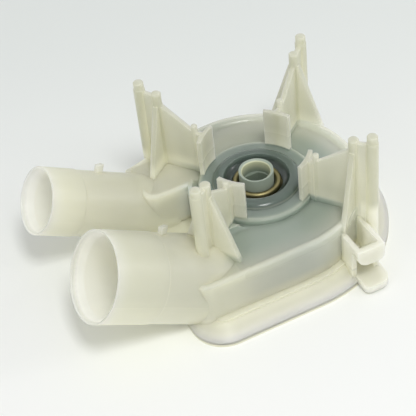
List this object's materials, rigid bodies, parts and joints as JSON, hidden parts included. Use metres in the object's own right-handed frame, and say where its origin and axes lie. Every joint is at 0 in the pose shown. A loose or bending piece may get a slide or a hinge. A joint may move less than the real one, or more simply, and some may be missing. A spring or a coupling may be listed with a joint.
{
  "type": "drain pump",
  "caption": "Moulded drain pump casing with inclined inlet and outlet hose spigots, motor mounting towers round a drive hub, clip ears, and an impeller that turns freely inside.",
  "frame": {"origin": "on the shaft axis at the plane the pump rests on", "axes": "+Z along the shaft out of the drive bore, -X the way both spigots lean out"},
  "size_m": [0.1434, 0.1146, 0.0623],
  "materials": {
    "casing_plastic": "translucent satin polypropylene",
    "cover_plastic": "translucent satin polypropylene",
    "divider_plastic": "satin",
    "seal_brass": "drawn",
    "seal_rubber": "matte",
    "spring_steel": "drawn wire",
    "carbon": "lapped",
    "impeller_plastic": "satin",
    "ceramic": "lapped",
    "seat_rubber": "matte"
  },
  "bodies": {
    "casing": {"volute_casing": "casing_plastic", "bottom_cover": "cover_plastic", "suction_plate": "divider_plastic", "seal_shell": "seal_brass", "seal_boot": "seal_rubber", "seal_spring": "spring_steel", "carbon_face_ring": "carbon"},
    "rotor": {"impeller": "impeller_plastic", "ceramic_ring": "ceramic", "ceramic_ring_seat": "seat_rubber"}
  },
  "joints": [
    {"name": "impeller_spin", "type": "hinge", "parent": "casing", "child": "rotor", "pos_m": [0, 0, 0.0306], "axis": [0, 0, 1], "continuous": true}
  ]
}
